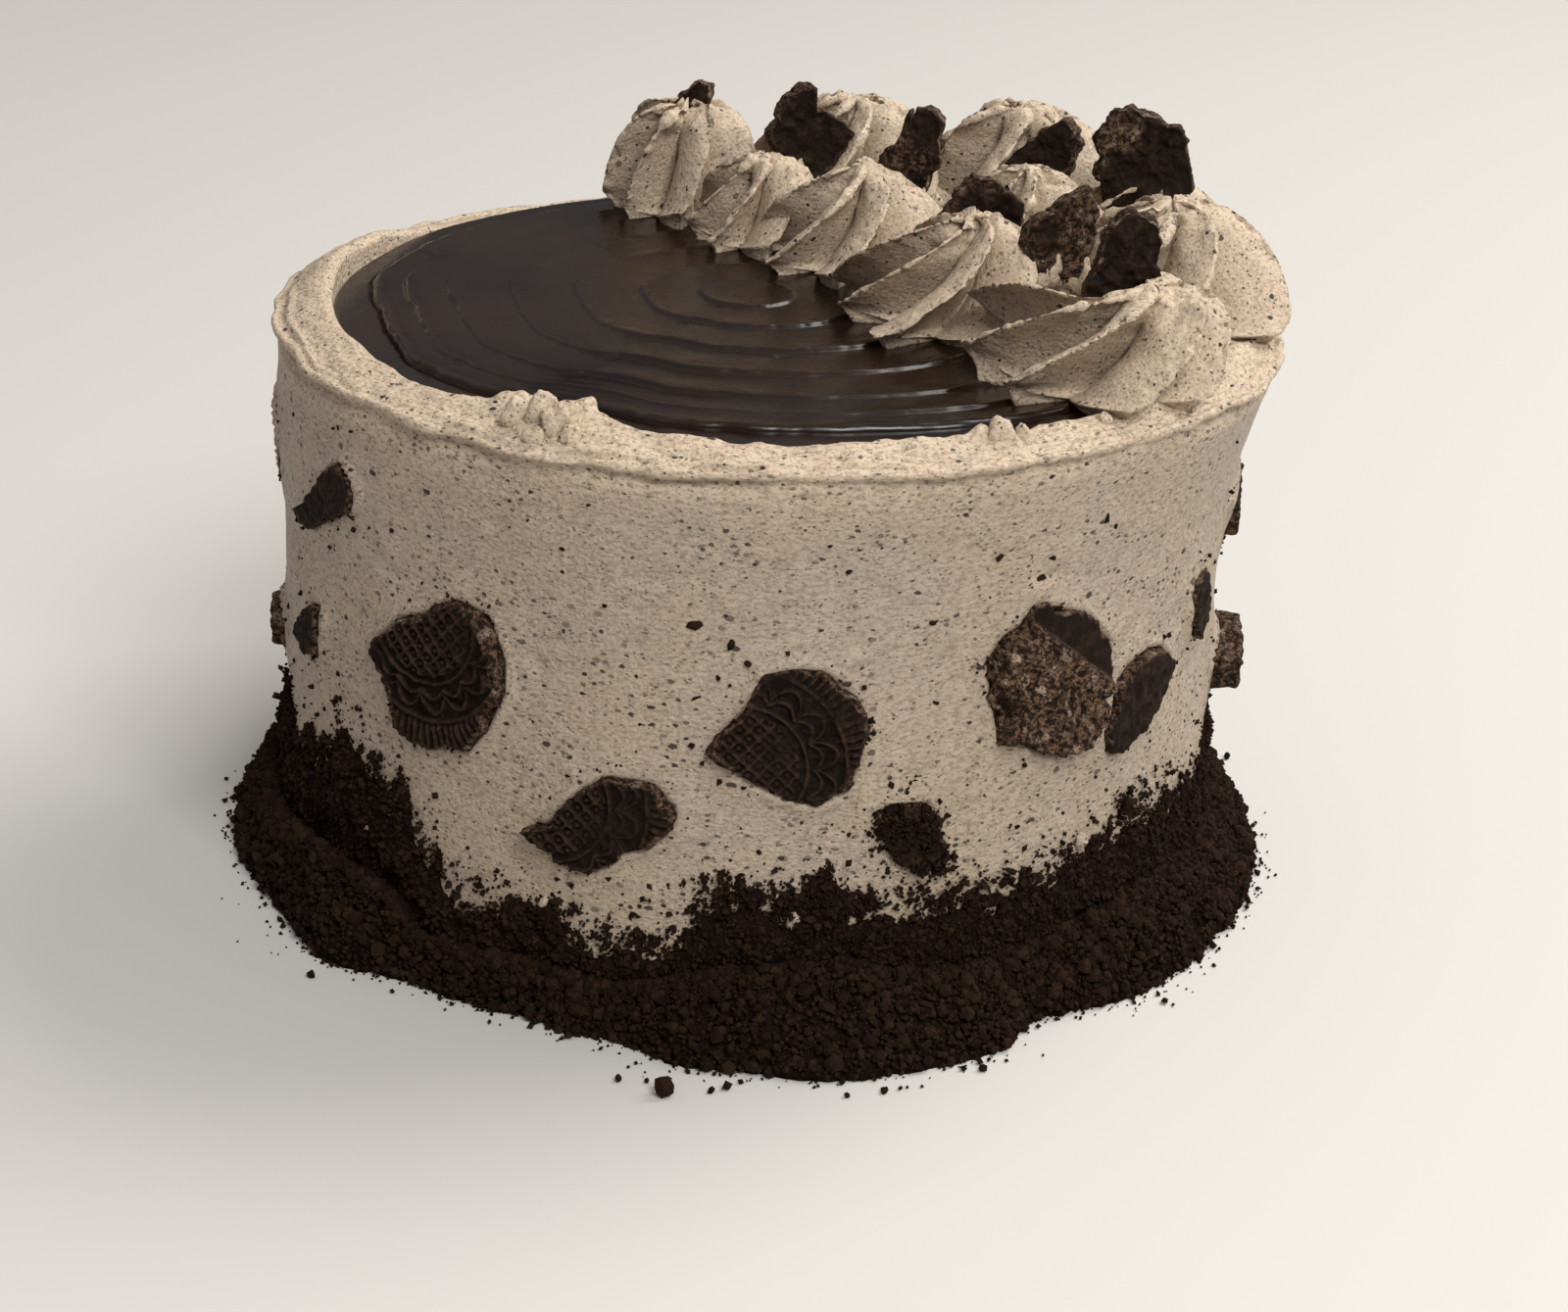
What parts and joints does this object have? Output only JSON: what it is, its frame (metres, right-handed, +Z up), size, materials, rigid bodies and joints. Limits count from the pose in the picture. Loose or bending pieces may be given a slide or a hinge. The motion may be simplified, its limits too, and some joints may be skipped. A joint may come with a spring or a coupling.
{
  "type": "cookies and cream cake",
  "caption": "Round cookies and cream cake in speckled buttercream, with a dark ganache top, piped swirls, broken cookies on top and side, and a bank of cookie crumbs round the foot.",
  "frame": {"origin": "middle of the flat base", "axes": "+Z up, -Y towards the side the picture shows, +X to its right"},
  "size_m": [0.1737, 0.1758, 0.1204],
  "materials": {
    "buttercream": "soft buttercream, grey-beige, full of fine dark cookie specks",
    "ganache": "dark glossy chocolate ganache with shallow spatula rings",
    "cookie": "near-black baked cocoa wafer, dry, with paler crumb where it is broken",
    "crumb": "dry dark cookie crumbs, rough"
  },
  "bodies": {
    "root": {"cake": "buttercream", "ganache": "ganache", "crumb_bank": "crumb", "swirl_back_left": "buttercream", "swirl_back": "buttercream", "swirl_back_right": "buttercream", "swirl_right_back": "buttercream", "swirl_left": "buttercream", "swirl_inner": "buttercream", "swirl_middle": "buttercream", "swirl_right": "buttercream", "swirl_centre": "buttercream", "swirl_front": "buttercream", "crown_cookie_1": "cookie", "crown_cookie_2": "cookie", "crown_cookie_3": "cookie", "crown_cookie_4": "cookie", "crown_cookie_5": "cookie", "crown_cookie_6": "cookie", "crown_cookie_7": "cookie", "crown_cookie_8": "cookie", "side_cookie_1": "cookie", "side_cookie_2": "cookie", "side_cookie_3": "cookie", "side_cookie_4": "cookie", "side_cookie_5": "cookie", "side_cookie_6": "cookie", "side_cookie_7": "cookie", "side_cookie_8": "cookie", "side_cookie_9": "cookie", "side_cookie_10": "cookie", "side_cookie_11": "cookie", "side_cookie_12": "cookie", "side_cookie_13": "cookie", "side_cookie_14": "cookie", "side_cookie_15": "cookie", "side_cookie_16": "cookie", "side_cookie_17": "cookie", "side_cookie_18": "cookie", "side_cookie_19": "cookie", "side_cookie_20": "cookie"}
  },
  "joints": []
}
